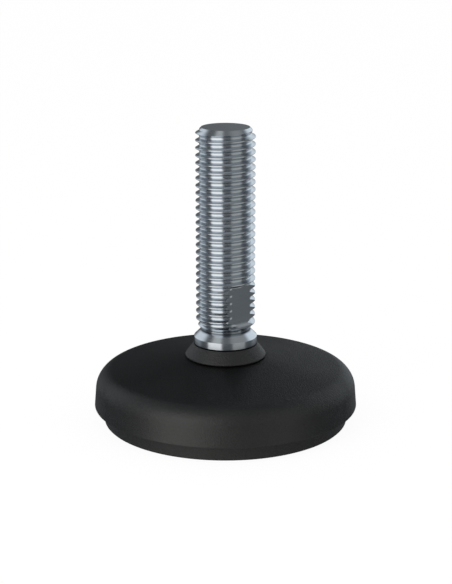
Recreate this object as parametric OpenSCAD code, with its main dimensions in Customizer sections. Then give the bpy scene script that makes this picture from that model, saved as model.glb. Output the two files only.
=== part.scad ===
// Machine foot: a steel levelling spindle with a ball end, standing in a round plastic base
// with an anti-slip rubber sole. Millimetres, +Z up, origin on the floor under the centre.

/* [Thread] */
// Outside diameter over the crests
thread_d = 19.74; // [18:0.01:20.5]
// Rise of the right-hand thread in one turn
thread_pitch = 2.5; // [2:0.1:3]
// Depth from crest to root
thread_depth = 1.3; // [1:0.01:1.4]
// Width of the flat crest
crest_w = 0.32; // [0.2:0.01:0.45]
// Threaded length, with both chamfers
thread_l = 67.4; // [50:0.1:120]
// Chamfer at the free end
tip_chamfer = 1.83; // [1.4:0.01:2.5]
// Height of the chamfer at the collar end of the thread
start_chamfer = 1.6; // [1:0.1:3]
// Direction that the thread's groove starts in, in degrees from the wrench flat
thread_start = 255.1; // [0:0.1:359.9]
// Straight steps that one turn of the groove is cut in
turn_steps = 36; // [24:4:40]

/* [Wrench flats] */
// Width across the two flats
flat_af = 15; // [14.2:0.1:17]
// Length of the flat part
flat_l = 10.4; // [6:0.1:20]
// Radius of the cutter's run-out at the lower end
flat_run_r = 4; // [2:0.1:4.5]
// Height of the flat part above the relief
flat_rise = 4.8; // [4.6:0.1:12]

/* [Collar] */
// Diameter of the collar over the dust seal
collar_d = 21.1; // [20.6:0.1:24]
// Height of the collar's rim
collar_h = 2.4; // [1:0.1:5]
// Diameter at the bottom of the thread relief
relief_d = 16.8; // [16:0.1:17]
// Width of the relief's floor
relief_w = 0.96; // [0.6:0.01:3]

/* [Ball joint] */
// Diameter of the neck between the ball and the collar
neck_d = 13; // [10:0.1:14]
// Diameter of the ball
ball_d = 20; // [18:0.1:21]
// Running gap between the ball and its seat
ball_gap = 0.05; // [0.02:0.01:0.1]
// Gap between the ball and the bore round it
bore_gap = 0.25; // [0.2:0.01:0.4]
// Thickness of the seat under the ball
seat_t = 1.2; // [0.8:0.1:2]
// Overall height of the seat
seat_h = 5.5; // [4:0.1:7]
// Running gap between the seat and the bore
seat_gap = 0.08; // [0.04:0.01:0.1]
// Wire diameter of the snap ring
wire_d = 2; // [1.6:0.1:2.2]
// Height of the snap ring's line of contact above the ball's equator, in degrees
wire_angle = 22; // [18:1:24]
// Gap between the snap ring and the ball
wire_gap = 0.1; // [0.05:0.01:0.2]
// Play of the snap ring in its groove
wire_play = 0.05; // [0.03:0.01:0.1]
// Opening between the ends of the snap ring, in degrees
wire_split = 24; // [10:1:60]

/* [Dust seal] */
// Diameter at the foot of the seal
seal_d = 27.1; // [27:0.02:34]
// Height of the seal above the hub
seal_h = 4.3; // [3.6:0.1:7]
// Slope of the flank, in degrees from upright
seal_slope = 37.4; // [34:0.1:42]
// Radius between the flank and the foot
seal_flank_r = 0.8; // [0.4:0.1:1.2]
// Radius under the foot's edge
seal_foot_r = 0.3; // [0.2:0.05:0.5]
// Wall thickness of the seal's skirt
seal_t = 1.8; // [1.4:0.1:2.2]
// Thickness of the lip that wipes the neck
seal_lip_t = 1.2; // [0.8:0.1:1.6]
// Gap between the seal's lip and the neck
seal_lip_gap = 0.05; // [0.02:0.01:0.1]
// Gap between the seal and the collar
seal_gap = 0.3; // [0.1:0.05:0.5]
// Gap between the seal's foot and the hub
seal_foot_gap = 0.05; // [0.02:0.01:0.1]
// Width of the tongue that holds the seal in the hub
tongue_w = 1; // [0.6:0.1:1.2]
// Depth of the tongue
tongue_h = 1.2; // [0.6:0.1:1.4]
// Distance of the tongue's middle from the edge of the hub's face
tongue_inset = 1.3; // [1.2:0.1:1.5]
// Gap round the tongue in the hub's groove
tongue_gap = 0.05; // [0.03:0.01:0.1]

/* [Base] */
// Diameter at the lip of the base
base_d = 88.66; // [84:0.02:110]
// Height of the wall between the lip and the rounded edge
wall_h = 6.3; // [4:0.1:9]
// Draft of the wall in degrees
wall_draft = 4.9; // [1:0.1:7]
// Radius of the rounded edge
edge_r = 6.75; // [4:0.05:8]
// Slope of the crown in degrees
crown_angle = 9.84; // [8:0.02:12]
// Diameter of the flat face on the hub
hub_face_d = 26.4; // [26:0.1:30]
// Thickness of the crown over the ribs
crown_t = 4; // [3:0.1:5]
// Chamfer at the mouth of the hub's bore
hub_chamfer = 0.6; // [0.3:0.1:0.8]
// Diameter of the boss that holds the seat
boss_d = 34; // [32:0.1:38]
// Height of the boss's underside above the floor
boss_rise = 1.2; // [0.8:0.1:2]
// Thickness of the boss under the seat
boss_floor = 2.8; // [2:0.1:4]
// Wall round the boss above the sole
boss_wall = 2; // [1.5:0.1:3]
// Wall inside the groove for the sole's spigot
rim_wall = 2; // [1.5:0.1:3]
// Number of radial ribs
rib_count = 20; // [12:1:24]
// Thickness of a radial rib
rib_t = 2.4; // [1.6:0.1:3]
// Diameter at the middle of the round rib
ring_rib_d = 54; // [50:1:58]
// Thickness of the round rib
ring_rib_t = 2; // [1.6:0.1:3]

/* [Sole] */
// Diameter of the sole at its upper edge
sole_d = 83; // [80:0.1:84]
// Height of the sole below the lip
sole_h = 5.33; // [4.5:0.01:8]
// How much smaller the sole's radius is at the floor
sole_taper = 0.45; // [0:0.05:1]
// Chamfer at the sole's floor edge
sole_chamfer = 0.35; // [0.2:0.05:0.8]
// Gap between the sole and the base
sole_gap = 0.05; // [0.03:0.01:0.1]
// Gap round the boss
boss_gap = 0.3; // [0.2:0.05:0.6]
// Outside diameter of the spigot that plugs into the base
spigot_d = 80.4; // [78:0.1:81]
// Thickness of the spigot
spigot_t = 1.6; // [1.2:0.1:2.4]
// Height of the spigot
spigot_h = 3; // [2:0.1:5]
// Width of the round grooves in the underside
tread_w = 1.6; // [1:0.1:2.4]
// Depth of the round grooves
tread_h = 1.2; // [0.8:0.1:2]
// Distance between the round grooves
tread_step = 6; // [5:0.5:9]
// Number of radial grooves
slot_count = 24; // [12:2:36]
// Width of the radial grooves
slot_w = 1.4; // [1:0.1:2.4]
// Depth of the radial grooves
slot_h = 1; // [0.6:0.1:1.6]

/* [Hidden] */
steel = "#9aa3ab";
rubber = "#232425";
plastic = "#2b2c2d";
sides = 96;
wire_sides = 48;
over = 1;
// The base, from the floor up
lip_z = sole_h + sole_gap;
base_r = base_d / 2;
wall_top_r = base_r - wall_h * tan(wall_draft);
wall_top_z = lip_z + wall_h;
edge_x = wall_top_r - edge_r * cos(wall_draft);
edge_z = wall_top_z - edge_r * sin(wall_draft);
crown_r = edge_x + edge_r * sin(crown_angle);
crown_z = edge_z + edge_r * cos(crown_angle);
hub_r = hub_face_d / 2;
hub_z = crown_z + (crown_r - hub_r) * tan(crown_angle);
boss_r = boss_d / 2;
// The ball joint stands on the floor of the boss
seat_z = boss_rise + boss_floor;
ball_r = ball_d / 2;
ball_z = seat_z + seat_t + ball_gap + ball_r;
bore_r = ball_r + bore_gap;
wire_r = wire_d / 2;
wire_reach = ball_r + wire_gap + wire_r;
wire_x = wire_reach * cos(wire_angle);
wire_z = ball_z + wire_reach * sin(wire_angle);
groove_r = wire_r + wire_play;
// The spindle, from the seal up
seal_r = seal_d / 2;
seal_z = hub_z + seal_foot_gap;
seal_top_z = hub_z + seal_h;
collar_z = seal_top_z + seal_gap;
collar_r = collar_d / 2;
relief_r = relief_d / 2;
cone_h = collar_r - relief_r;
relief_z = collar_z + collar_h + cone_h;
thread_z = relief_z + relief_w;
tip_z = thread_z + thread_l;
thread_r = thread_d / 2;
root_r = thread_r - thread_depth;
flank_angle = 30;
groove_w = thread_pitch - crest_w;
groove_past = 0.15;
flat_z = thread_z + flat_rise;
flat_x = flat_af / 2;
// The tongue and the spigot lie in grooves of their own
tongue_r = hub_r - tongue_inset;
spigot_r = spigot_d / 2;
pocket_r = spigot_r - spigot_t - rim_wall;
ring_rib_r = ring_rib_d / 2;
tread_r = [for (r = [spigot_r - tread_step : -tread_step : boss_r + tread_step / 2]) r];

// Points of an arc about c, from angle a to angle b
function arc(c, r, a, b, n = 8) =
    [for (i = [0 : n]) c + r * [cos(a + (b - a) * i / n), sin(a + (b - a) * i / n)]];

// One cross-section of the thread's groove, which starts in the relief and is open past the crests
function groove_section(i) =
    let (
        a = thread_start + i * 360 / turn_steps,
        z = relief_z + relief_w / 2 + thread_pitch * i / turn_steps,
        out_r = thread_r + groove_past,
        out_w = groove_w / 2 + groove_past * tan(flank_angle),
        root_w = groove_w / 2 - thread_depth * tan(flank_angle)
    )
    [for (p = [[root_r, -root_w], [out_r, -out_w], [out_r, out_w], [root_r, root_w]])
        [p.x * cos(a), p.x * sin(a), z + p.y]];

// The groove of the thread: its 60 degree section carried up a helix
module thread_groove() {
    turns = (thread_l + relief_w + thread_pitch) / thread_pitch;
    last = ceil(turns * turn_steps);
    skin = [for (i = [0 : last - 1]) for (k = [0 : 3])
        let (a = 4 * i + k, b = 4 * i + (k + 1) % 4)
        each [[a, b, b + 4], [a, b + 4, a + 4]]];
    polyhedron(
        points = [for (i = [0 : last]) each groove_section(i)],
        faces = concat([[3, 2, 1, 0]], [[for (k = [0 : 3]) 4 * last + k]], skin)
    );
}

// What the milling cutter takes off one side for the wrench
module wrench_cut() {
    deep = thread_r - flat_x + over;
    rotate([90, 0, 0])
        linear_extrude(thread_d + 2 * over, center = true)
            translate([flat_x, flat_z]) {
                square([deep, flat_l]);
                intersection() {
                    translate([0, -flat_run_r]) square([deep, flat_run_r]);
                    translate([flat_run_r, 0]) circle(flat_run_r, $fn = sides);
                }
            }
}

// One turned piece of zinc-plated steel: thread, wrench flats, relief, collar, neck and ball
module spindle() {
    color(steel) difference() {
        union() {
            translate([0, 0, ball_z]) sphere(ball_r, $fn = sides);
            translate([0, 0, ball_z]) cylinder(h = collar_z - ball_z + over, d = neck_d, $fn = sides);
            translate([0, 0, collar_z]) cylinder(h = collar_h, r = collar_r, $fn = sides);
            translate([0, 0, collar_z + collar_h])
                cylinder(h = cone_h, r1 = collar_r, r2 = relief_r, $fn = sides);
            translate([0, 0, collar_z + collar_h])
                cylinder(h = cone_h + relief_w + over, r = relief_r, $fn = sides);
            translate([0, 0, thread_z])
                cylinder(h = start_chamfer, r1 = relief_r, r2 = thread_r, $fn = sides);
            translate([0, 0, thread_z + start_chamfer])
                cylinder(h = thread_l - start_chamfer - tip_chamfer, r = thread_r, $fn = sides);
            translate([0, 0, tip_z - tip_chamfer])
                cylinder(h = tip_chamfer, r1 = thread_r, r2 = thread_r - tip_chamfer, $fn = sides);
        }
        thread_groove();
        wrench_cut();
        mirror([1, 0, 0]) wrench_cut();
    }
}

// Rubber bell that closes the joint: its foot sits on the hub and its lip wipes the neck
module dust_seal() {
    lip_r = neck_d / 2 + seal_lip_gap;
    flank_c = [seal_r - seal_flank_r, seal_z + seal_foot_r];
    foot_c = [seal_r - seal_foot_r, seal_z + seal_foot_r];
    flank_end = flank_c + seal_flank_r * [cos(seal_slope), sin(seal_slope)];
    top_r = flank_end.x - (seal_top_z - flank_end.y) * tan(seal_slope);
    under_r = top_r + seal_lip_t * tan(seal_slope) - seal_t;
    tongue_in = tongue_r - tongue_w / 2;
    tongue_out = tongue_r + tongue_w / 2;
    color(rubber) rotate_extrude($fn = sides)
        polygon(concat(
            [[lip_r, seal_top_z - seal_lip_t], [lip_r, seal_top_z], [top_r, seal_top_z]],
            arc(flank_c, seal_flank_r, seal_slope, 0, 4),
            arc(foot_c, seal_foot_r, 0, -90, 4),
            [
                [tongue_out, seal_z], [tongue_out, seal_z - tongue_h],
                [tongue_in, seal_z - tongue_h], [tongue_in, seal_z + seal_foot_r],
                [under_r, seal_top_z - seal_lip_t]
            ]
        ));
}

// Round spring wire, split, in the bore's groove just above the widest part of the ball
module snap_ring() {
    color(steel) rotate(wire_split / 2)
        translate([0, 0, wire_z])
            rotate_extrude(angle = 360 - wire_split, $fn = sides)
                translate([wire_x, 0]) circle(wire_r, $fn = wire_sides);
}

// Cup that carries the ball and turns with it in the boss
module ball_seat() {
    seat_r = bore_r - seat_gap;
    color(steel) difference() {
        translate([0, 0, seat_z]) cylinder(h = seat_h, r = seat_r, $fn = sides);
        translate([0, 0, ball_z]) sphere(ball_r + ball_gap, $fn = sides);
    }
}

// The hollows between the ribs, in two rings under the crown
module rib_pockets() {
    roof_z = hub_z - crown_t;
    drop = tan(crown_angle);
    rings = [
        [boss_r + boss_wall, ring_rib_r - ring_rib_t / 2],
        [ring_rib_r + ring_rib_t / 2, pocket_r]
    ];
    difference() {
        rotate_extrude($fn = sides)
            for (r = rings)
                polygon([
                    [r[0], lip_z - over],
                    [r[1], lip_z - over],
                    [r[1], roof_z - (r[1] - hub_r) * drop],
                    [r[0], roof_z - (r[0] - hub_r) * drop]
                ]);
        for (i = [0 : rib_count - 1])
            rotate(i * 360 / rib_count)
                translate([boss_r, -rib_t / 2, 0]) cube([base_r - boss_r, rib_t, hub_z]);
    }
}

// Solid of the base before anything is taken out of it
module base_body() {
    rotate_extrude($fn = sides) {
        polygon([
            [0, boss_rise], [boss_r, boss_rise], [boss_r, lip_z], [base_r, lip_z],
            [wall_top_r, wall_top_z], [edge_x, edge_z], [crown_r, crown_z],
            [hub_r, hub_z], [0, hub_z]
        ]);
        intersection() {
            translate([edge_x, edge_z]) circle(edge_r, $fn = sides);
            polygon([
                [edge_x, edge_z],
                [edge_x + 2 * edge_r * cos(wall_draft), edge_z + 2 * edge_r * sin(wall_draft)],
                [edge_x + 2 * edge_r, edge_z + 2 * edge_r],
                [edge_x + 2 * edge_r * sin(crown_angle), edge_z + 2 * edge_r * cos(crown_angle)]
            ]);
        }
    }
}

// Moulded base: crown, rounded edge, wall and lip outside, boss and ribs inside
module base_plate() {
    tongue_out = tongue_r + tongue_w / 2 + tongue_gap;
    tongue_in = tongue_r - tongue_w / 2 - tongue_gap;
    color(plastic) difference() {
        base_body();
        translate([0, 0, seat_z]) cylinder(h = hub_z, r = bore_r, $fn = sides);
        translate([0, 0, hub_z - hub_chamfer])
            cylinder(h = hub_chamfer + over, r1 = bore_r, r2 = bore_r + hub_chamfer + over, $fn = sides);
        translate([0, 0, wire_z]) rotate_extrude($fn = sides)
            translate([wire_x, 0]) circle(groove_r, $fn = wire_sides);
        translate([0, 0, hub_z - tongue_h]) difference() {
            cylinder(h = tongue_h + over, r = tongue_out, $fn = sides);
            translate([0, 0, -over]) cylinder(h = tongue_h + 3 * over, r = tongue_in, $fn = sides);
        }
        translate([0, 0, lip_z - over]) difference() {
            cylinder(h = spigot_h + over + sole_gap, r = spigot_r + sole_gap, $fn = sides);
            translate([0, 0, -over])
                cylinder(h = spigot_h + 4 * over, r = spigot_r - spigot_t - sole_gap, $fn = sides);
        }
        rib_pockets();
    }
}

// Anti-slip rubber ring under the base, with grooves across its underside
module sole() {
    top_r = sole_d / 2;
    floor_r = top_r - sole_taper;
    hole_r = boss_r + boss_gap;
    spigot_in = spigot_r - spigot_t;
    color(rubber) difference() {
        rotate_extrude($fn = sides) difference() {
            polygon([
                [hole_r + sole_chamfer, 0], [floor_r - sole_chamfer, 0], [floor_r, sole_chamfer],
                [top_r, sole_h], [spigot_r, sole_h], [spigot_r, sole_h + spigot_h],
                [spigot_in, sole_h + spigot_h], [spigot_in, sole_h], [hole_r, sole_h],
                [hole_r, sole_chamfer]
            ]);
            for (r = tread_r)
                translate([r - tread_w / 2, -over]) square([tread_w, tread_h + over]);
        }
        for (i = [0 : slot_count - 1])
            rotate((i + 0.5) * 360 / slot_count)
                translate([min(tread_r), -slot_w / 2, -over])
                    cube([max(tread_r) - min(tread_r), slot_w, slot_h + over]);
    }
}

spindle();
dust_seal();
snap_ring();
ball_seat();
base_plate();
sole();
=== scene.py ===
import math

import bpy
import numpy as np
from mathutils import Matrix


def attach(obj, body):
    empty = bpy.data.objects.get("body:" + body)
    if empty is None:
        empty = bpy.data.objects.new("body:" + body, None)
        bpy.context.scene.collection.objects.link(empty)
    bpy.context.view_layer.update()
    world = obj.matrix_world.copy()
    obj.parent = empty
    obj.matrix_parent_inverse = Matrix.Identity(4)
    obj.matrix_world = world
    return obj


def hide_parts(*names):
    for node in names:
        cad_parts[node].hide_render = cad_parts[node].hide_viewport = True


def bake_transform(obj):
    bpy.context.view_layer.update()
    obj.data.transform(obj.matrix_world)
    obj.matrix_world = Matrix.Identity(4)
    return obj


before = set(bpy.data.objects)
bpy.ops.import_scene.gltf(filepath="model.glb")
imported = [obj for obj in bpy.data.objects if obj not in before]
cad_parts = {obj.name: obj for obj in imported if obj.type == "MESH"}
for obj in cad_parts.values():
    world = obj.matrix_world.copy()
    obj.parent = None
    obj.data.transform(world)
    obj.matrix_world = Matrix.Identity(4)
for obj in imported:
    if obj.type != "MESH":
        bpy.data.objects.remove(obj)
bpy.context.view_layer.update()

scene = bpy.context.scene

# the pieces' own sizes are in millimetres, those of the finishes and the studio in metres
mm = 0.001
# half the width across the spindle's wrench flats in millimetres, which its milled lines follow too
wrenchFlatX = 7.5
# points nearer to each other than this, in metres, become one
mergeWithin = 1e-7


# Shared surface code

def meshPiece(name, points, faces, material, sharpDeg=30):
    # points that fall on each other become one, and faces that this closes up are dropped
    keys = np.round(points / mergeWithin).astype(np.int64)
    _, first, ids = np.unique(keys, axis=0, return_index=True, return_inverse=True)
    corners = ids.reshape(-1)[faces]
    doubled = corners == np.roll(corners, -1, axis=1)
    if faces.shape[1] == 4:
        # a quad whose opposite corners meet has no area
        flat = (corners[:, 0] == corners[:, 2]) | (corners[:, 1] == corners[:, 3])
        corners, doubled = corners[~flat], doubled[~flat]
    count = doubled.sum(axis=1)
    whole = corners[count == 0].tolist()
    if faces.shape[1] == 4:
        # a quad with two neighbouring corners in one spot becomes a triangle
        cut = corners[count == 1]
        order = np.argsort(doubled[count == 1], axis=1, kind="stable")[:, :3]
        whole += np.take_along_axis(cut, np.sort(order, axis=1), axis=1).tolist()
    mesh = bpy.data.meshes.new(name)
    mesh.from_pydata(points[first].tolist(), [], whole)
    mesh.polygons.foreach_set("use_smooth", np.ones(len(mesh.polygons), bool))
    mesh.set_sharp_from_angle(angle=math.radians(sharpDeg))
    mesh.materials.append(material)
    mesh.update()
    piece = bpy.data.objects.new(name, mesh)
    scene.collection.objects.link(piece)
    return piece


def ringQuads(rows, columns, closed=False):
    # corner numbers of the quads between neighbouring rows, the last column joined to the first
    last = rows if closed else rows - 1
    row, column = np.meshgrid(np.arange(last), np.arange(columns), indexing="ij")
    up, over = (row + 1) % rows, (column + 1) % columns
    quads = [row * columns + column, row * columns + over, up * columns + over, up * columns + column]
    return np.stack(quads, axis=-1).reshape(-1, 4)


def splitQuads(quads):
    # two triangles for each quad
    return np.vstack([quads[:, [0, 1, 2]], quads[:, [0, 2, 3]]])


def turnedPoints(profile, angles):
    # a profile of (r, z) carried round the upright axis: x = r cos a, y = r sin a, z = z
    r, z = profile[:, :1], profile[:, 1:]
    x, y = r * np.cos(angles), r * np.sin(angles)
    return np.stack([x, y, np.broadcast_to(z, x.shape)], axis=-1).reshape(-1, 3) * mm


def arcPoints(centreR, centreZ, radius, turn):
    # an arc of (r, z) round a centre: r = centreR + radius cos t, z = centreZ + radius sin t
    return np.stack([centreR + radius * np.cos(turn), centreZ + radius * np.sin(turn)], -1)


def roundedProfile(corners, steps=5, ease=0.04):
    # corners of (r, z, radius): each corner with a radius becomes an arc that touches both its sides,
    # with a point a little beyond each of its ends, so that the sides stay flat in the shading
    spots = np.array([corner[:2] for corner in corners], float)
    radii = [corner[2] for corner in corners]
    line = []
    for before, here, after, radius in zip(np.roll(spots, 1, 0), spots, np.roll(spots, -1, 0), radii):
        if radius == 0:
            line.append(here)
            continue
        back, ahead = before - here, after - here
        back, ahead = back / np.linalg.norm(back), ahead / np.linalg.norm(ahead)
        half = math.acos(np.clip(back @ ahead, -1, 1)) / 2
        middle = (back + ahead) / np.linalg.norm(back + ahead)
        centre = here + middle * radius / math.sin(half)
        start, end = here + back * radius / math.tan(half), here + ahead * radius / math.tan(half)
        line.append(start + back * ease)
        for share in np.linspace(0, 1, steps + 1):
            spot = (start - centre) * (1 - share) + (end - centre) * share
            line.append(centre + spot / np.linalg.norm(spot) * radius)
        line.append(end + ahead * ease)
    return np.array(line)


def barAngles(radii, count, gapColumns, halfWidth, phase=0.0):
    # columns that follow bars of an even width: at radius r a bar's edge lies asin(halfWidth / r) from its
    # middle, with two columns on the edge, one that goes with the bar and one that goes with the gap
    leastRadius = halfWidth * 1.01  # rows nearer to the axis count as this one
    edge = np.arcsin(halfWidth / np.maximum(radii, leastRadius))[:, None]
    sector = 2 * math.pi / count
    share = np.linspace(0, 1, gapColumns)[None, :]
    between = edge + (sector - 2 * edge) * share
    part = np.hstack([0 * edge, edge, between, sector - edge])
    starts = phase + sector * np.arange(count)
    onBar = np.array([True, True] + [False] * gapColumns + [True])
    return (starts[None, :, None] + part[:, None, :]).reshape(len(radii), -1), np.tile(onBar, count)


# Shared finishes

def addNode(tree, kind, **values):
    # a node with its settings and the values of its sockets, by name or by number as i0, i1 and so on
    node = tree.nodes.new(kind)
    for key, value in values.items():
        if hasattr(node, key):
            setattr(node, key, value)
        elif key[0] == "i" and key[1:].isdigit():
            node.inputs[int(key[1:])].default_value = value
        else:
            node.inputs[key.replace("_", " ")].default_value = value
    return node


def newGroup(name, inputs, outputs):
    # an empty node group with its named sockets, inputs as (name, kind, value) and outputs as (name, kind)
    group = bpy.data.node_groups.new(name, "ShaderNodeTree")
    for socket, kind, value in inputs:
        made = group.interface.new_socket(name=socket, in_out="INPUT", socket_type=kind)
        if value is not None:
            made.default_value = value
    for socket, kind in outputs:
        group.interface.new_socket(name=socket, in_out="OUTPUT", socket_type=kind)
    return group, group.nodes.new("NodeGroupInput"), group.nodes.new("NodeGroupOutput")


def makeTurningLines():
    # fine rings that a lathe leaves: noise read along height less a share of the radius, so that end faces
    # and cones have them too, and hardly along the round
    radiusShare = 0.6
    group, given, put = newGroup(
        "turningLines",
        [("Position", "NodeSocketVector", None), ("Lines per Metre", "NodeSocketFloat", 3000.0),
         ("Wander", "NodeSocketFloat", 1.2)],
        [("Height", "NodeSocketFloat")],
    )
    link = group.links.new
    parts = addNode(group, "ShaderNodeSeparateXYZ")
    link(given.outputs["Position"], parts.inputs[0])
    angle = addNode(group, "ShaderNodeMath", operation="ARCTAN2")
    link(parts.outputs["Y"], angle.inputs[0])
    link(parts.outputs["X"], angle.inputs[1])
    turn = addNode(group, "ShaderNodeMath", operation="SINE")
    link(angle.outputs[0], turn.inputs[0])
    flatSpot = addNode(group, "ShaderNodeCombineXYZ")
    link(parts.outputs["X"], flatSpot.inputs[0])
    link(parts.outputs["Y"], flatSpot.inputs[1])
    radius = addNode(group, "ShaderNodeVectorMath", operation="LENGTH")
    link(flatSpot.outputs[0], radius.inputs[0])
    along = addNode(group, "ShaderNodeMath", operation="MULTIPLY_ADD", i1=-radiusShare)
    link(radius.outputs["Value"], along.inputs[0])
    link(parts.outputs["Z"], along.inputs[2])
    fine = addNode(group, "ShaderNodeMath", operation="MULTIPLY")
    link(along.outputs[0], fine.inputs[0])
    link(given.outputs["Lines per Metre"], fine.inputs[1])
    wander = addNode(group, "ShaderNodeMath", operation="MULTIPLY")
    link(turn.outputs[0], wander.inputs[0])
    link(given.outputs["Wander"], wander.inputs[1])
    spot = addNode(group, "ShaderNodeCombineXYZ")
    link(wander.outputs[0], spot.inputs[0])
    link(fine.outputs[0], spot.inputs[2])
    lines = addNode(group, "ShaderNodeTexNoise", Scale=1.0, Detail=3.0, Roughness=0.7)
    link(spot.outputs[0], lines.inputs["Vector"])
    link(lines.outputs["Fac"], put.inputs["Height"])
    return group


def makeFineGrain():
    # a moulded skin: small soft cells with finer noise over them, and a broad patchiness
    noisePerCell = 1.7
    group, given, put = newGroup(
        "fineGrain",
        [("Position", "NodeSocketVector", None), ("Cells per Metre", "NodeSocketFloat", 2600.0)],
        [("Height", "NodeSocketFloat"), ("Patches", "NodeSocketFloat")],
    )
    link = group.links.new
    cells = addNode(group, "ShaderNodeTexVoronoi", feature="SMOOTH_F1", Smoothness=0.6)
    link(given.outputs["Position"], cells.inputs["Vector"])
    link(given.outputs["Cells per Metre"], cells.inputs["Scale"])
    finer = addNode(group, "ShaderNodeMath", operation="MULTIPLY", i1=noisePerCell)
    link(given.outputs["Cells per Metre"], finer.inputs[0])
    dust = addNode(group, "ShaderNodeTexNoise", Detail=3.0, Roughness=0.65)
    link(given.outputs["Position"], dust.inputs["Vector"])
    link(finer.outputs[0], dust.inputs["Scale"])
    both = addNode(group, "ShaderNodeMath", operation="ADD")
    link(cells.outputs["Distance"], both.inputs[0])
    link(dust.outputs["Fac"], both.inputs[1])
    link(both.outputs[0], put.inputs["Height"])
    patches = addNode(group, "ShaderNodeTexNoise", Scale=55.0, Detail=3.0, Roughness=0.55)
    link(given.outputs["Position"], patches.inputs["Vector"])
    link(patches.outputs["Fac"], put.inputs["Patches"])
    return group


turningLines = makeTurningLines()
fineGrain = makeFineGrain()


def newMaterial(name):
    # a material with its shader joined to the output, and the piece's own coordinates
    made = bpy.data.materials.new(name)
    made.use_nodes = True
    tree = made.node_tree
    tree.nodes.clear()
    shader = tree.nodes.new("ShaderNodeBsdfPrincipled")
    out = tree.nodes.new("ShaderNodeOutputMaterial")
    tree.links.new(shader.outputs[0], out.inputs[0])
    place = tree.nodes.new("ShaderNodeTexCoord").outputs["Object"]
    return made, tree, shader, place


def mapRange(tree, source, low, high, fromLow=0.3, fromHigh=0.7):
    # low where the source is at fromLow, high where it is at fromHigh, and even between them
    node = addNode(tree, "ShaderNodeMapRange", i1=fromLow, i2=fromHigh, i3=low, i4=high)
    tree.links.new(source, node.inputs[0])
    return node.outputs[0]


def mixColours(tree, source, first, second):
    # a colour mix has its two colours at 6 and 7, after the sockets for numbers and vectors
    node = addNode(tree, "ShaderNodeMix", data_type="RGBA", i6=(*first, 1), i7=(*second, 1))
    tree.links.new(source, node.inputs[0])
    return node.outputs[2]


steelLook = {
    "bright": (0.590, 0.630, 0.676),
    "cool": (0.570, 0.610, 0.656),
    "cloudsPerMetre": 160.0,
    "roughLow": 0.15,
    "roughHigh": 0.21,
    "linesPerMetre": 9000.0,
    "lineDepth": 0.0000006,
    "lineStrength": 0.5,
    "millPerMetre": 5200.0,
    "millAlong": 90.0,
    "flatX": wrenchFlatX * mm,
    "flatWithin": 0.00004,
}
seatSteelLook = dict(steelLook, bright=(0.52, 0.54, 0.56), cool=(0.46, 0.49, 0.52), linesPerMetre=6000.0)
springSteelLook = dict(steelLook, bright=(0.33, 0.34, 0.35), cool=(0.27, 0.28, 0.3), linesPerMetre=4000.0)
# painted shade: the steel's colour is made darker in the narrow groove under the thread, standing in for the
# shade that the cone and the thread throw there
paintedReliefShade = {"middleZ": 0.0316, "half": 0.00048, "soft": 0.0003, "tone": (0.24, 0.26, 0.285)}


def paintReliefShade(tree, place, colour, shade):
    # painted shade: the colour is darker where the height is within half of the groove's middle, with soft
    # edges
    parts = addNode(tree, "ShaderNodeSeparateXYZ")
    tree.links.new(place, parts.inputs[0])
    lift = addNode(tree, "ShaderNodeMath", operation="SUBTRACT", i1=shade["middleZ"])
    tree.links.new(parts.outputs["Z"], lift.inputs[0])
    away = addNode(tree, "ShaderNodeMath", operation="ABSOLUTE")
    tree.links.new(lift.outputs[0], away.inputs[0])
    inner, outer = shade["half"] - shade["soft"], shade["half"] + shade["soft"]
    mask = mapRange(tree, away.outputs[0], 1.0, 0.0, inner, outer)
    node = addNode(tree, "ShaderNodeMix", data_type="RGBA", blend_type="MULTIPLY", i7=(*shade["tone"], 1))
    tree.links.new(mask, node.inputs[0])
    tree.links.new(colour, node.inputs[6])
    return node.outputs[2]


def makeSteel(name, look, shade=None):
    # plated steel: turning lines in the height and the gloss, milled lines on the two wrench flats
    made, tree, shader, place = newMaterial(name)
    link = tree.links.new
    lines = addNode(tree, "ShaderNodeGroup", node_tree=turningLines)
    link(place, lines.inputs["Position"])
    lines.inputs["Lines per Metre"].default_value = look["linesPerMetre"]
    parts = addNode(tree, "ShaderNodeSeparateXYZ")
    link(place, parts.inputs[0])
    side = addNode(tree, "ShaderNodeMath", operation="ABSOLUTE")
    link(parts.outputs["X"], side.inputs[0])
    onFlat = addNode(tree, "ShaderNodeMath", operation="COMPARE", i1=look["flatX"], i2=look["flatWithin"])
    link(side.outputs[0], onFlat.inputs[0])
    millSpot = addNode(tree, "ShaderNodeMapping")
    millSpot.inputs["Scale"].default_value = (1.0, look["millAlong"], look["millPerMetre"])
    link(place, millSpot.inputs["Vector"])
    milled = addNode(tree, "ShaderNodeTexNoise", Scale=1.0, Detail=2.0, Roughness=0.6)
    link(millSpot.outputs[0], milled.inputs["Vector"])
    height = addNode(tree, "ShaderNodeMix", data_type="FLOAT")
    link(onFlat.outputs[0], height.inputs[0])
    link(lines.outputs["Height"], height.inputs[2])
    link(milled.outputs["Fac"], height.inputs[3])
    bump = addNode(tree, "ShaderNodeBump", Strength=look["lineStrength"], Distance=look["lineDepth"])
    link(height.outputs[0], bump.inputs["Height"])
    link(bump.outputs[0], shader.inputs["Normal"])
    cloud = addNode(tree, "ShaderNodeTexNoise", Scale=look["cloudsPerMetre"], Detail=4.0, Roughness=0.6)
    link(place, cloud.inputs["Vector"])
    colour = mixColours(tree, mapRange(tree, cloud.outputs["Fac"], 0.0, 1.0), look["bright"], look["cool"])
    # painted shade: when given, the colour is made darker in the groove under the thread
    if shade:
        colour = paintReliefShade(tree, place, colour, shade)
    link(colour, shader.inputs["Base Color"])
    low, high = look["roughLow"], look["roughHigh"]
    rough = mapRange(tree, height.outputs[0], low, high, fromLow=0.25, fromHigh=0.75)
    link(rough, shader.inputs["Roughness"])
    shader.inputs["Metallic"].default_value = 1.0
    return made


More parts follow.
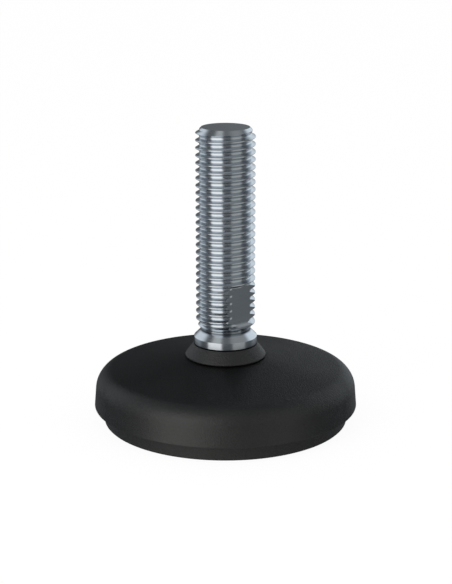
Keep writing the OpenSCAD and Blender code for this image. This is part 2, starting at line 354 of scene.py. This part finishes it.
plasticLook = {
    "dark": (0.0013, 0.0013, 0.0013),
    "light": (0.0026, 0.0026, 0.0026),
    "roughLow": 0.40,
    "roughHigh": 0.46,
    "cells": 2100.0,
    "grainDepth": 0.00008,
    "bumpStrength": 0.9,
    "facingSheen": 0.78,
    "grazingSheen": 0.16,
}
rubberLook = {
    "dark": (0.0060, 0.0060, 0.0060),
    "light": (0.0090, 0.0090, 0.0090),
    "roughLow": 0.44,
    "roughHigh": 0.52,
    "cells": 2000.0,
    "grainDepth": 0.00011,
    "bumpStrength": 0.9,
    "facingSheen": 0.62,
    "grazingSheen": 0.30,
}
soleLook = dict(
    rubberLook, dark=(0.0040, 0.0040, 0.0040), light=(0.0065, 0.0065, 0.0065),
    roughLow=0.5, roughHigh=0.6, cells=2200.0,
)


def makeMoulded(name, look):
    # moulded plastic or rubber: fine grain in the height, patches in the colour and the gloss
    made, tree, shader, place = newMaterial(name)
    link = tree.links.new
    grain = addNode(tree, "ShaderNodeGroup", node_tree=fineGrain)
    link(place, grain.inputs["Position"])
    grain.inputs["Cells per Metre"].default_value = look["cells"]
    bump = addNode(tree, "ShaderNodeBump", Strength=look["bumpStrength"], Distance=look["grainDepth"])
    link(grain.outputs["Height"], bump.inputs["Height"])
    link(bump.outputs[0], shader.inputs["Normal"])
    patches = grain.outputs["Patches"]
    colour = mixColours(tree, mapRange(tree, patches, 0.0, 1.0), look["dark"], look["light"])
    link(colour, shader.inputs["Base Color"])
    link(mapRange(tree, patches, look["roughLow"], look["roughHigh"]), shader.inputs["Roughness"])
    # the sheen changes from where the surface faces the eye to where it is seen at a grazing angle
    facing = addNode(tree, "ShaderNodeLayerWeight", Blend=0.5).outputs["Facing"]
    sheen = mapRange(tree, facing, look["facingSheen"], look["grazingSheen"], fromLow=0.15, fromHigh=0.6)
    link(sheen, shader.inputs["Specular IOR Level"])
    return made


zincSteel = makeSteel("zincSteel", steelLook, paintedReliefShade)
seatSteel = makeSteel("seatSteel", seatSteelLook)
springSteel = makeSteel("springSteel", springSteelLook)
basePlastic = makeMoulded("basePlastic", plasticLook)
sealRubber = makeMoulded("sealRubber", rubberLook)
soleRubber = makeMoulded("soleRubber", soleLook)
print("finishes made")


# Spindle

spindleSize = {
    "ballZ": 15.25, "ballR": 10.0, "neckR": 6.5, "neckDrop": 4.0, "neckRound": 0.2,
    "collarZ": 26.7, "collarR": 10.55, "collarH": 2.4, "collarEdge": 0.15, "coneRound": 0.15,
    "reliefR": 8.4, "threadZ": 32.2, "tipZ": 99.6, "tipRim": 0.3,
    "crestR": 9.87, "depth": 1.3, "pitch": 2.5, "crestW": 0.32, "flankDeg": 30,
    "startChamfer": 1.6, "tipChamfer": 1.83,
    "crestRound": 0.16, "rootRound": 0.3,
    "grooveZ": 31.73, "grooveDeg": 255.1,
    "flatX": wrenchFlatX, "flatZ": 37.0, "flatTop": 47.4, "flatRun": 4.0,
    "columns": 150, "ballRows": 30, "threadSteps": 3, "stemSteps": 4,
}


def threadProfile(size):
    # half the groove, from its middle out to the crest's middle: root, arc, straight flank, arc, crest
    rootR = size["crestR"] - size["depth"]
    halfCrest = (size["pitch"] - size["crestW"]) / 2
    halfRoot = halfCrest - size["depth"] * math.tan(math.radians(size["flankDeg"]))
    corners = [
        (-halfRoot, rootR, 0), (halfRoot, rootR, size["rootRound"]),
        (halfCrest, size["crestR"], size["crestRound"]), (size["pitch"], size["crestR"], 0),
    ]
    # the first and last corner only give the sides' directions
    return np.vstack([[0, rootR], roundedProfile(corners, size["threadSteps"])[2:-2]])


def threadRadius(size, half, z, rise):
    # the turned blank with its two chamfers, less the groove: its half profile, read at the distance from
    # its middle
    crestR, pitch = size["crestR"], size["pitch"]
    start = size["reliefR"] + (z - size["threadZ"]) * (crestR - size["reliefR"]) / size["startChamfer"]
    tip = crestR - (z - (size["tipZ"] - size["tipChamfer"]))
    blank = np.minimum(np.minimum(start, crestR), tip)
    away = (z - size["grooveZ"] - rise + pitch / 2) % pitch - pitch / 2
    return np.minimum(blank, np.interp(np.abs(away), half[:, 0], half[:, 1]))


def flatRadius(size, z, angles):
    # the flat's plane in polar form, x / |cos a|, with the cutter's round run-out below it
    outside = 99.0  # below the run-out the plane lies out of the thread's reach
    leastCosine = 1e-3
    drop = np.clip(size["flatZ"] - z, 0, size["flatRun"])
    x = size["flatX"] + size["flatRun"] - np.sqrt(size["flatRun"] ** 2 - drop ** 2)
    x = np.where(z < size["flatZ"] - size["flatRun"], outside, x)
    return x / np.maximum(np.abs(np.cos(angles)), leastCosine)


def spindleAngles(size):
    # even columns from where the groove starts, four of them moved to where the flats cut the crest
    angles = math.radians(size["grooveDeg"]) + np.arange(size["columns"]) * 2 * math.pi / size["columns"]
    edge = math.acos(size["flatX"] / size["crestR"])
    for exact in (edge, -edge, math.pi - edge, math.pi + edge):
        gap = (angles - exact + math.pi) % (2 * math.pi) - math.pi
        nearest = np.argmin(np.abs(gap))
        angles[nearest] -= gap[nearest]
    return angles


def threadSurface(size, angles):
    # a grid that climbs with the helix: z = the groove's start + pitch * turn + the row's offset + rise, and
    # r = the least of blank and groove, and of the flat's plane below its shoulder
    half = threadProfile(size)
    pitch = size["pitch"]
    offsets = np.concatenate([[-pitch / 2], -half[:0:-1, 0], half[:, 0]])
    turns = np.arange(-1, int((size["tipZ"] - size["grooveZ"]) / pitch) + 2)
    rise = pitch * (angles - math.radians(size["grooveDeg"])) / (2 * math.pi)
    base = (turns[:, None] * pitch + offsets[None, :]).reshape(-1)
    z = np.clip(size["grooveZ"] + base[:, None] + rise[None, :], size["threadZ"], size["tipZ"])

    def flatGap(heights):
        # less than zero where the flat cuts into the thread
        return flatRadius(size, heights, angles) - threadRadius(size, half, heights, rise)

    # the two rows next to the shoulder meet on it, the lower one on the flat and the upper one on the thread
    column = np.arange(len(angles))
    below = (z <= size["flatTop"]).sum(axis=0) - 1
    z[below, column] = size["flatTop"]
    z[below + 1, column] = size["flatTop"]
    cut = np.arange(len(z))[:, None] <= below[None, :]
    # where the flat's edge crosses between two rows, the nearer row moves onto it, found by halving
    gap = np.where(cut, flatGap(z), 1.0)
    lowSide = gap[:-1] < 0
    cross = (lowSide != (gap[1:] < 0)) & cut[1:]
    low, high = z[:-1].copy(), z[1:].copy()
    halvings = 22
    for _ in range(halvings):
        middle = (low + high) / 2
        side = flatGap(middle) < 0
        low, high = np.where(side == lowSide, middle, low), np.where(side == lowSide, high, middle)
    nearLow = (low - z[:-1]) < (z[1:] - low)
    fixed = np.zeros(z.shape, bool)
    fixed[below, column] = True
    fixed[below + 1, column] = True
    moveLow = cross & nearLow & ~fixed[:-1]
    moveHigh = cross & ~nearLow & ~fixed[1:]
    z[:-1][moveLow] = low[moveLow]
    z[1:][moveHigh] = low[moveHigh]
    uncut = threadRadius(size, half, z, rise)
    r = np.where(cut, np.minimum(uncut, flatRadius(size, z, angles)), uncut)
    points = np.stack([r * np.cos(angles), r * np.sin(angles), z], axis=-1) * mm
    return points.reshape(-1, 3), climbingTriangles(r, len(offsets))


def climbingTriangles(radii, perTurn):
    # triangles between neighbouring rows and columns; past the last column a row goes on as the one a pitch
    # higher, and each cell is split along its outer diagonal, so that the flats' edges stay crisp
    margin = 1e-4  # so that level cells all split the same way
    rows, columns = radii.shape
    row, column = np.meshgrid(np.arange(rows), np.arange(columns), indexing="ij")
    overRow = np.where(column == columns - 1, row + perTurn, row)
    inside = (overRow + 1 < rows) & (row + 1 < rows)
    here = row * columns + column
    over = overRow * columns + (column + 1) % columns
    up = (row + 1) * columns + column
    overUp = (overRow + 1) * columns + (column + 1) % columns
    here, over, up, overUp = (corner[inside] for corner in (here, over, up, overUp))
    flatRadii = radii.reshape(-1)
    outer = flatRadii[here] + flatRadii[overUp] > flatRadii[over] + flatRadii[up] + margin
    first = np.stack([here, over, np.where(outer, overUp, up)], -1)
    second = np.stack([np.where(outer, here, over), overUp, up], -1)
    return np.vstack([first, second])


def stemProfile(size):
    # ball, neck, collar, cone and relief below the thread, as one profile of (r, z)
    neckUp = math.asin(size["neckR"] / size["ballR"])
    turn = np.linspace(-math.pi / 2, math.pi / 2 - neckUp, size["ballRows"])
    ball = arcPoints(0, size["ballZ"], size["ballR"], turn)
    ball[0, 0] = 0
    neckZ = size["collarZ"] - size["neckDrop"]
    collarTop = size["collarZ"] + size["collarH"]
    coneTop = collarTop + size["collarR"] - size["reliefR"]
    # the first two corners and the last only give the sides' directions
    stem = roundedProfile([
        (0, neckZ, 0), (size["neckR"], neckZ, 0), (size["neckR"], size["collarZ"], size["neckRound"]),
        (size["collarR"], size["collarZ"], size["collarEdge"]),
        (size["collarR"], collarTop, size["collarEdge"]),
        (size["reliefR"], coneTop, size["coneRound"]), (size["reliefR"], size["threadZ"], 0),
        (0, size["threadZ"], 0),
    ], size["stemSteps"])[2:-1]
    return np.vstack([ball, stem])


def makeSpindle(size):
    # the climbing grid of the thread, the turned stem below it and the end face: a disc from the chamfer's
    # edge in to the middle, all on the same columns, so that their edges meet point to point
    angles = spindleAngles(size)
    thread, threadFaces = threadSurface(size, angles)
    profile = stemProfile(size)
    stem = turnedPoints(profile, angles)
    stemFaces = splitQuads(ringQuads(len(profile), len(angles)))
    tipR, tipZ = size["crestR"] - size["tipChamfer"], size["tipZ"]
    endRows = np.array([[tipR, tipZ], [tipR - size["tipRim"], tipZ], [tipR / 2, tipZ], [0, tipZ]])
    endFaces = splitQuads(ringQuads(len(endRows), len(angles)))
    points = np.vstack([thread, stem, turnedPoints(endRows, angles)])
    faces = np.vstack([threadFaces, stemFaces + len(thread), endFaces + len(thread) + len(stem)])
    return meshPiece("spindleTurned", points, faces, zincSteel, sharpDeg=28)


spindlePiece = makeSpindle(spindleSize)
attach(spindlePiece, "spindle")
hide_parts("spindle")
print("spindle made:", len(spindlePiece.data.polygons), "faces")


# Dust seal

sealSize = {
    "lipR": 6.55, "topZ": 26.4, "lipT": 1.2, "slopeDeg": 37.4, "skirtT": 1.8,
    "footZ": 22.15, "footR": 13.55, "flankRound": 0.8, "footRound": 0.3, "topRound": 0.12, "edgeRound": 0.1,
    "tongueR": 11.9, "tongueW": 1.0, "tongueH": 1.2,
    "columns": 192, "steps": 6,
}


def makeSeal(size):
    # a bell-shaped ring turned from its closed section: lip, sloping skirt, foot and the tongue below it
    slopeAngle = math.radians(size["slopeDeg"])
    slope = math.tan(slopeAngle)
    arcX = size["footR"] - size["flankRound"] * (1 - math.cos(slopeAngle))
    arcZ = size["footZ"] + size["footRound"] + size["flankRound"] * math.sin(slopeAngle)
    topR = arcX - (size["topZ"] - arcZ) * slope
    cornerZ = arcZ - (size["footR"] - arcX) / slope
    tongueIn, tongueOut = size["tongueR"] - size["tongueW"] / 2, size["tongueR"] + size["tongueW"] / 2
    tongueZ = size["footZ"] - size["tongueH"]
    lipZ = size["topZ"] - size["lipT"]
    edge = size["edgeRound"]
    section = roundedProfile([
        (tongueIn, tongueZ, edge), (tongueOut, tongueZ, edge),
        (tongueOut, size["footZ"], 0), (size["footR"], size["footZ"], size["footRound"]),
        (size["footR"], cornerZ, size["flankRound"]), (topR, size["topZ"], size["topRound"]),
        (size["lipR"], size["topZ"], edge), (size["lipR"], lipZ, edge),
        (topR + size["lipT"] * slope - size["skirtT"], lipZ, 0),
        (tongueIn, size["footZ"] + size["footRound"], 0),
    ], size["steps"])
    angles = np.arange(size["columns"]) * 2 * math.pi / size["columns"]
    faces = ringQuads(len(section), size["columns"], closed=True)
    return meshPiece("sealBell", turnedPoints(section, angles), faces, sealRubber, sharpDeg=40)


sealPiece = makeSeal(sealSize)
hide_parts("dust_seal")
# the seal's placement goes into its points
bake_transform(sealPiece)
print("seal made")


# Base

baseSize = {
    "lipZ": 5.38, "baseR": 44.33, "wallH": 6.3, "wallDeg": 4.9, "edgeRound": 6.75, "crownDeg": 9.84,
    "hubR": 13.2, "lipRound": 0.25, "crownT": 4.0,
    "bossR": 17.0, "bossZ": 1.2, "bossEdge": 0.3, "seatZ": 4.0, "boreR": 10.25, "boreChamfer": 0.6,
    "wireX": 10.28, "wireZ": 19.41, "wireR": 1.05,
    "tongueR": 11.9, "tongueHalf": 0.55, "tongueH": 1.2,
    "spigotOut": 40.25, "spigotIn": 38.55, "spigotH": 3.05,
    "pocketIn": 19.0, "ringIn": 26.0, "ringOut": 28.0, "pocketOut": 36.6,
    "ribs": 20, "ribHalf": 1.2, "gapColumns": 12,
    "lipSteps": 4, "wallRows": 6, "edgeRows": 25, "crownRows": 14, "wireRows": 15,
}


def makeBase(size):
    # turned rows from the boss's underside out, up the wall, over the crown and down into the bore;
    # between the ribs the rows marked deep take the height of the roof, crownT below the crown
    lip, spigotTop = size["lipZ"], size["lipZ"] + size["spigotH"]
    wallAngle = math.radians(size["wallDeg"])
    wallTopR = size["baseR"] - size["wallH"] * math.tan(wallAngle)
    wallTopZ = lip + size["wallH"]
    edgeX = wallTopR - size["edgeRound"] * math.cos(wallAngle)
    edgeZ = wallTopZ - size["edgeRound"] * math.sin(wallAngle)
    turn = np.radians(np.linspace(size["wallDeg"], 90 - size["crownDeg"], size["edgeRows"]))
    fillet = arcPoints(edgeX, edgeZ, size["edgeRound"], turn)
    crownSlope = math.tan(math.radians(size["crownDeg"]))
    hubZ = fillet[-1, 1] + (fillet[-1, 0] - size["hubR"]) * crownSlope

    def roof(r):
        # the height of the pockets' roof
        return hubZ - size["crownT"] - (r - size["hubR"]) * crownSlope

    # the underside's rows as (r, z, deep): boss, two rings of pockets, and the groove for the sole's spigot
    boss = [
        (0, size["bossZ"], 0), (size["bossR"] - size["bossEdge"], size["bossZ"], 0),
        (size["bossR"], size["bossZ"] + size["bossEdge"], 0), (size["bossR"], lip, 0),
    ]
    pockets = []
    for near, far in ((size["pocketIn"], size["ringIn"]), (size["ringOut"], size["pocketOut"])):
        pockets += [(near, lip, 0), (near, roof(near), 1), (far, roof(far), 1), (far, lip, 0)]
    spigot = [
        (size["spigotIn"], lip, 0), (size["spigotIn"], spigotTop, 0),
        (size["spigotOut"], spigotTop, 0), (size["spigotOut"], lip, 0),
    ]
    under = np.array(boss + pockets + spigot)
    lipCorners = [
        (size["spigotOut"], lip, 0), (size["baseR"], lip, size["lipRound"]), (wallTopR, wallTopZ, 0),
    ]
    lipEdge = roundedProfile(lipCorners, size["lipSteps"])[1:-1]
    wall = np.linspace(lipEdge[-1], fillet[0], size["wallRows"])[1:-1]
    crown = np.linspace(fillet[-1], (size["hubR"], hubZ), size["crownRows"])[1:]
    tongueIn, tongueOut = size["tongueR"] - size["tongueHalf"], size["tongueR"] + size["tongueHalf"]
    tongueZ = hubZ - size["tongueH"]
    wireUp = math.acos((size["boreR"] - size["wireX"]) / size["wireR"])
    wire = np.linspace(wireUp, -wireUp, size["wireRows"])
    groove = arcPoints(size["wireX"], size["wireZ"], size["wireR"], wire)
    inner = np.vstack([
        [(tongueOut, hubZ), (tongueOut, tongueZ), (tongueIn, tongueZ), (tongueIn, hubZ)],
        [(size["boreR"] + size["boreChamfer"], hubZ), (size["boreR"], hubZ - size["boreChamfer"])],
        groove, [(size["boreR"], size["seatZ"]), (0, size["seatZ"])],
    ])
    rows = np.vstack([under[:, :2], lipEdge, wall, fillet, crown, inner])
    deep = np.zeros(len(rows), bool)
    deep[:len(under)] = under[:, 2] > 0
    onPocket = np.zeros(len(rows), bool)
    onPocket[len(boss):len(boss) + len(pockets)] = True
    ribAngles, onRib = barAngles(rows[:, 0], size["ribs"], size["gapColumns"], size["ribHalf"])
    columns = ribAngles.shape[1]
    evenAngles = np.arange(columns) * 2 * math.pi / columns
    angles = np.where(onPocket[:, None], ribAngles, evenAngles[None, :])
    r = rows[:, :1]
    z = np.where(deep[:, None] & onRib[None, :], lip, rows[:, 1:])
    points = np.stack([r * np.cos(angles), r * np.sin(angles), z], -1).reshape(-1, 3) * mm
    return meshPiece("baseShell", points, ringQuads(len(rows), columns), basePlastic, sharpDeg=28)


basePiece = makeBase(baseSize)
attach(basePiece, "base")
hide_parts("base_plate")
print("base made")


# Sole

soleSize = {
    "topR": 41.5, "taper": 0.45, "height": 5.33, "edge": 0.35, "holeR": 17.3,
    "spigotR": 40.2, "spigotIn": 38.6, "spigotH": 3.0,
    "grooves": (22.2, 28.2, 34.2), "grooveHalf": 0.8, "grooveH": 1.2,
    "slots": 24, "slotHalf": 0.7, "slotH": 1.0, "slotReach": 1.0, "gapColumns": 8,
}


def makeSole(size):
    # turned rows round the closed section; slot columns rise by slotH on the lands between the round grooves
    floorR = size["topR"] - size["taper"]
    spigotTop = size["height"] + size["spigotH"]
    first, last = size["grooves"][0], size["grooves"][-1]
    # rows as (r, z, whether a slot lifts them)
    rows = [(size["holeR"] + size["edge"], 0, 0)]
    for r in size["grooves"]:
        near, far = r - size["grooveHalf"], r + size["grooveHalf"]
        rows += [(near, 0, r > first), (near, size["grooveH"], 0)]
        rows += [(far, size["grooveH"], 0), (far, 0, r < last)]
    rows += [
        (floorR - size["edge"], 0, 0), (floorR, size["edge"], 0), (size["topR"], size["height"], 0),
        (size["spigotR"], size["height"], 0), (size["spigotR"], spigotTop, 0),
        (size["spigotIn"], spigotTop, 0), (size["spigotIn"], size["height"], 0),
        (size["holeR"], size["height"], 0), (size["holeR"], size["edge"], 0),
    ]
    rows = np.array(rows, float)
    phase = math.pi / size["slots"]
    slotAngles, onSlot = barAngles(rows[:, 0], size["slots"], size["gapColumns"], size["slotHalf"], phase)
    columns = slotAngles.shape[1]
    evenAngles = phase + np.arange(columns) * 2 * math.pi / columns
    onTread = (rows[:, 0] > first - size["slotReach"]) & (rows[:, 0] < last + size["slotReach"])
    angles = np.where(onTread[:, None], slotAngles, evenAngles[None, :])
    r = rows[:, :1]
    z = np.where((rows[:, 2:] > 0) & onSlot[None, :], size["slotH"], rows[:, 1:2])
    points = np.stack([r * np.cos(angles), r * np.sin(angles), z], -1).reshape(-1, 3) * mm
    return meshPiece("soleRing", points, ringQuads(len(rows), columns, closed=True), soleRubber, sharpDeg=28)


solePiece = makeSole(soleSize)
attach(solePiece, "base")
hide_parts("sole")
print("sole made")


# Snap ring and ball seat, which keep their own shapes

for nodeName, finish in (("snap_ring", springSteel), ("ball_seat", seatSteel)):
    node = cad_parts[nodeName]
    node.data.materials.clear()
    node.data.materials.append(finish)
print("snap ring and ball seat finished")


# Camera

# distance and height are in millimetres
viewFrom = {
    "azimuthDeg": -41.5, "distance": 500.0, "height": 183.7, "pitchDeg": 15.61,
    "lens": 95.86, "sensorWidth": 36.0, "shiftX": 0.00086,
}


def makeCamera(view):
    # a camera at a distance and height from the foot's axis, looking down towards it
    camera = bpy.data.objects.new("photoCamera", bpy.data.cameras.new("photoCamera"))
    scene.collection.objects.link(camera)
    turn = math.radians(view["azimuthDeg"])
    x, y = view["distance"] * math.cos(turn), view["distance"] * math.sin(turn)
    camera.location = (x * mm, y * mm, view["height"] * mm)
    camera.rotation_euler = (math.radians(90 - view["pitchDeg"]), 0, turn + math.pi / 2)
    camera.data.lens = view["lens"]
    camera.data.sensor_width = view["sensorWidth"]
    camera.data.shift_x = view["shiftX"]
    camera.data.clip_start, camera.data.clip_end = 0.01, 20
    scene.camera = camera


makeCamera(viewFrom)
print("camera set")


# Studio

studio = {
    "worldLevel": 0.92,
    "floorTone": 0.97,
    "floorHalf": 3.0,
    "shadowShare": 0.06,
    "lampSize": 0.45,
    "lampAimZ": 0.04,
}
# name, degrees to the right of the camera, distance from the axis, height, watts
lamps = [
    ("keyLamp", -40, 0.7, 0.55, 2.0),
    ("fillLamp", 50, 0.8, 0.5, 0.6),
]
# the tent's soft panels, in degrees: middle to the right of the camera, half width, side softness,
# lower edge, upper edge, softness of both, colour; each lies over those before it
tentPanels = [
    (0, 200, 10, -120, -32, 8, (0.46, 0.46, 0.46)),  # the pale floor
    (75, 38, 14, 30, 76, 9, (0.31, 0.32, 0.32)),  # ceiling on the right
    (-152, 24, 10, 50, 84, 8, (0.38, 0.42, 0.43)),  # ceiling behind on the left
    (-56, 26, 9, 55, 82, 8, (0.56, 0.58, 0.57)),  # ceiling over the key panel
    (-40, 26, 4, -40, 50, 9, (1.27, 1.26, 1.22)),  # key panel
    (-41, 27, 5, 14, 46, 8, (1.60, 1.59, 1.55)),  # its upper half, stronger
    (51, 25, 5, -40, -6, 10, (0.46, 0.47, 0.45)),  # foot of the fill panel
    (50, 24, 6, -4, 50, 9, (0.54, 0.55, 0.53)),  # fill panel
    (-125, 24, 9, -40, -8, 8, (0.31, 0.335, 0.35)),  # foot of the left side panel
    (-126, 26, 10, -8, 44, 8, (0.81, 0.87, 0.91)),  # left side panel
    (140, 24, 9, -40, -10, 8, (0.28, 0.30, 0.315)),  # foot of the right side panel
    (139, 30, 13, -10, 40, 8, (0.88, 0.95, 1.00)),  # right side panel
]
panelSockets = ("Middle", "Half Width", "Side Softness", "Bottom", "Top", "End Softness")
tentSize = {
    "radius": 2.0, "middleZ": 0.06, "rings": 24, "columns": 48,
    "dark": (0.128, 0.136, 0.142), "zenith": (0.20, 0.21, 0.215), "zenithFrom": 66.0, "zenithTo": 86.0,
}


def seesBackground(tree):
    # one for camera, mirror and glass rays, which see the plain white background
    path = tree.nodes.new("ShaderNodeLightPath")
    first = addNode(tree, "ShaderNodeMath", operation="MAXIMUM")
    tree.links.new(path.outputs["Is Camera Ray"], first.inputs[0])
    tree.links.new(path.outputs["Is Glossy Ray"], first.inputs[1])
    second = addNode(tree, "ShaderNodeMath", operation="MAXIMUM")
    tree.links.new(first.outputs[0], second.inputs[0])
    tree.links.new(path.outputs["Is Transmission Ray"], second.inputs[1])
    return second.outputs[0]


def makeWorld(level):
    # an even white sky that lights the foot at the given level and shows as plain white
    world = bpy.data.worlds.new("studioWorld")
    world.use_nodes = True
    scene.world = world
    tree = world.node_tree
    tree.nodes.clear()
    strength = addNode(tree, "ShaderNodeMix", data_type="FLOAT", i2=level, i3=1.0)
    tree.links.new(seesBackground(tree), strength.inputs[0])
    back = addNode(tree, "ShaderNodeBackground", Color=(1, 1, 1, 1))
    tree.links.new(strength.outputs[0], back.inputs["Strength"])
    out = tree.nodes.new("ShaderNodeOutputWorld")
    tree.links.new(back.outputs[0], out.inputs[0])


def makeFloor(tone, shadowShare, half):
    # a pale sheet: most of it shines white to the camera, so that it meets the background, and the rest
    # keeps the shadow
    made = bpy.data.materials.new("paleFloor")
    made.use_nodes = True
    tree = made.node_tree
    tree.nodes.clear()
    paint = addNode(tree, "ShaderNodeBsdfDiffuse", Color=(tone, tone, tone, 1))
    glow = addNode(tree, "ShaderNodeEmission", Color=(1, 1, 1, 1), Strength=1.0)
    share = addNode(tree, "ShaderNodeMath", operation="MULTIPLY", i1=1 - shadowShare)
    tree.links.new(seesBackground(tree), share.inputs[0])
    mix = tree.nodes.new("ShaderNodeMixShader")
    tree.links.new(share.outputs[0], mix.inputs[0])
    tree.links.new(paint.outputs[0], mix.inputs[1])
    tree.links.new(glow.outputs[0], mix.inputs[2])
    out = tree.nodes.new("ShaderNodeOutputMaterial")
    tree.links.new(mix.outputs[0], out.inputs[0])
    corners = np.array([(-half, -half, 0), (half, -half, 0), (half, half, 0), (-half, half, 0)], float)
    floor = meshPiece("floorSheet", corners, np.array([[0, 1, 2, 3]]), made)
    # mirrors see the tent's lower half in its place
    floor.visible_glossy = False


def makeSoftPanel():
    # one inside a patch of the sky and zero outside, by the angles round and up, with soft edges
    group, given, put = newGroup(
        "softPanel",
        [("Round", "NodeSocketFloat", 0.0), ("Up", "NodeSocketFloat", 0.0),
         ("Middle", "NodeSocketFloat", 0.0),
         ("Half Width", "NodeSocketFloat", 20.0), ("Side Softness", "NodeSocketFloat", 5.0),
         ("Bottom", "NodeSocketFloat", 0.0), ("Top", "NodeSocketFloat", 30.0),
         ("End Softness", "NodeSocketFloat", 5.0)],
        [("Mask", "NodeSocketFloat")],
    )
    link = group.links.new

    def combine(operation, first, second):
        node = addNode(group, "ShaderNodeMath", operation=operation)
        link(first, node.inputs[0])
        link(second, node.inputs[1])
        return node.outputs[0]

    def smooth(value, low, high):
        node = addNode(group, "ShaderNodeMapRange", interpolation_type="SMOOTHSTEP")
        for source, socket in zip((value, low, high), node.inputs):
            link(source, socket)
        return node.outputs[0]

    away = addNode(group, "ShaderNodeMath", operation="WRAP", i1=180.0, i2=-180.0)
    link(combine("SUBTRACT", given.outputs["Round"], given.outputs["Middle"]), away.inputs[0])
    width = addNode(group, "ShaderNodeMath", operation="ABSOLUTE")
    link(away.outputs[0], width.inputs[0])
    half, side, end = (given.outputs[name] for name in ("Half Width", "Side Softness", "End Softness"))
    across = smooth(width.outputs[0], combine("ADD", half, side), combine("SUBTRACT", half, side))
    up, bottom, top = (given.outputs[name] for name in ("Up", "Bottom", "Top"))
    lower = smooth(up, combine("SUBTRACT", bottom, end), combine("ADD", bottom, end))
    upper = smooth(up, combine("ADD", top, end), combine("SUBTRACT", top, end))
    link(combine("MULTIPLY", across, combine("MULTIPLY", lower, upper)), put.inputs["Mask"])
    return group


def makeTent(panels, size):
    # a wide ball round the foot that only mirrors see, r = radius cos u and z = radius sin u carried round:
    # dark, with soft bright panels on it
    made = bpy.data.materials.new("tentPanels")
    made.use_nodes = True
    tree = made.node_tree
    tree.nodes.clear()
    link = tree.links.new
    place = tree.nodes.new("ShaderNodeTexCoord").outputs["Object"]
    # moved to the ball's middle and turned so that the camera stands at angle 0
    moved = addNode(tree, "ShaderNodeVectorMath", operation="SUBTRACT", i1=(0, 0, size["middleZ"]))
    link(place, moved.inputs[0])
    turned = addNode(tree, "ShaderNodeVectorRotate", rotation_type="Z_AXIS")
    turned.inputs["Angle"].default_value = math.radians(-viewFrom["azimuthDeg"])
    link(moved.outputs[0], turned.inputs["Vector"])
    parts = addNode(tree, "ShaderNodeSeparateXYZ")
    link(turned.outputs[0], parts.inputs[0])
    angle = addNode(tree, "ShaderNodeMath", operation="ARCTAN2")
    link(parts.outputs["Y"], angle.inputs[0])
    link(parts.outputs["X"], angle.inputs[1])
    around = addNode(tree, "ShaderNodeMath", operation="DEGREES")
    link(angle.outputs[0], around.inputs[0])
    length = addNode(tree, "ShaderNodeVectorMath", operation="LENGTH")
    link(turned.outputs[0], length.inputs[0])
    share = addNode(tree, "ShaderNodeMath", operation="DIVIDE")
    link(parts.outputs["Z"], share.inputs[0])
    link(length.outputs["Value"], share.inputs[1])
    lift = addNode(tree, "ShaderNodeMath", operation="ARCSINE")
    link(share.outputs[0], lift.inputs[0])
    up = addNode(tree, "ShaderNodeMath", operation="DEGREES")
    link(lift.outputs[0], up.inputs[0])
    high = mapRange(tree, up.outputs[0], 0.0, 1.0, size["zenithFrom"], size["zenithTo"])
    colour = mixColours(tree, high, size["dark"], size["zenith"])
    for *shape, tone in panels:
        mask = addNode(tree, "ShaderNodeGroup", node_tree=softPanel)
        link(around.outputs[0], mask.inputs["Round"])
        link(up.outputs[0], mask.inputs["Up"])
        for socket, value in zip(panelSockets, shape):
            mask.inputs[socket].default_value = value
        mix = addNode(tree, "ShaderNodeMix", data_type="RGBA", i7=(*tone, 1))
        link(mask.outputs[0], mix.inputs[0])
        link(colour, mix.inputs[6])
        colour = mix.outputs[2]
    glow = addNode(tree, "ShaderNodeEmission", Strength=1.0)
    link(colour, glow.inputs["Color"])
    out = tree.nodes.new("ShaderNodeOutputMaterial")
    link(glow.outputs[0], out.inputs[0])
    angles = np.arange(size["columns"]) * 2 * math.pi / size["columns"]
    rise = np.linspace(-math.pi / 2, math.pi / 2, size["rings"])
    profile = np.stack([np.cos(rise), np.sin(rise)], -1) * size["radius"] / mm + [0, size["middleZ"] / mm]
    profile[[0, -1], 0] = 0
    faces = ringQuads(len(profile), size["columns"])
    tent = meshPiece("lightTent", turnedPoints(profile, angles), faces, made)
    tent.visible_camera = tent.visible_diffuse = tent.visible_shadow = tent.visible_transmission = False


def makeLamp(name, degrees, away, height, watts, side, aimZ):
    # a square lamp that looks at the foot, its angle counted to the right of the camera
    data = bpy.data.lights.new(name, "AREA")
    data.shape, data.size, data.energy = "SQUARE", side, watts
    lamp = bpy.data.objects.new(name, data)
    scene.collection.objects.link(lamp)
    turn = math.radians(viewFrom["azimuthDeg"] + degrees)
    lamp.location = (away * math.cos(turn), away * math.sin(turn), height)
    back = lamp.location.copy()
    back.z -= aimZ
    lamp.rotation_mode = "QUATERNION"
    lamp.rotation_quaternion = back.to_track_quat("Z", "Y")
    lamp.visible_glossy = False


makeWorld(studio["worldLevel"])
makeFloor(studio["floorTone"], studio["shadowShare"], studio["floorHalf"])
softPanel = makeSoftPanel()
makeTent(tentPanels, tentSize)
for lamp in lamps:
    makeLamp(*lamp, studio["lampSize"], studio["lampAimZ"])
scene.view_settings.view_transform = "Standard"
print("studio made")
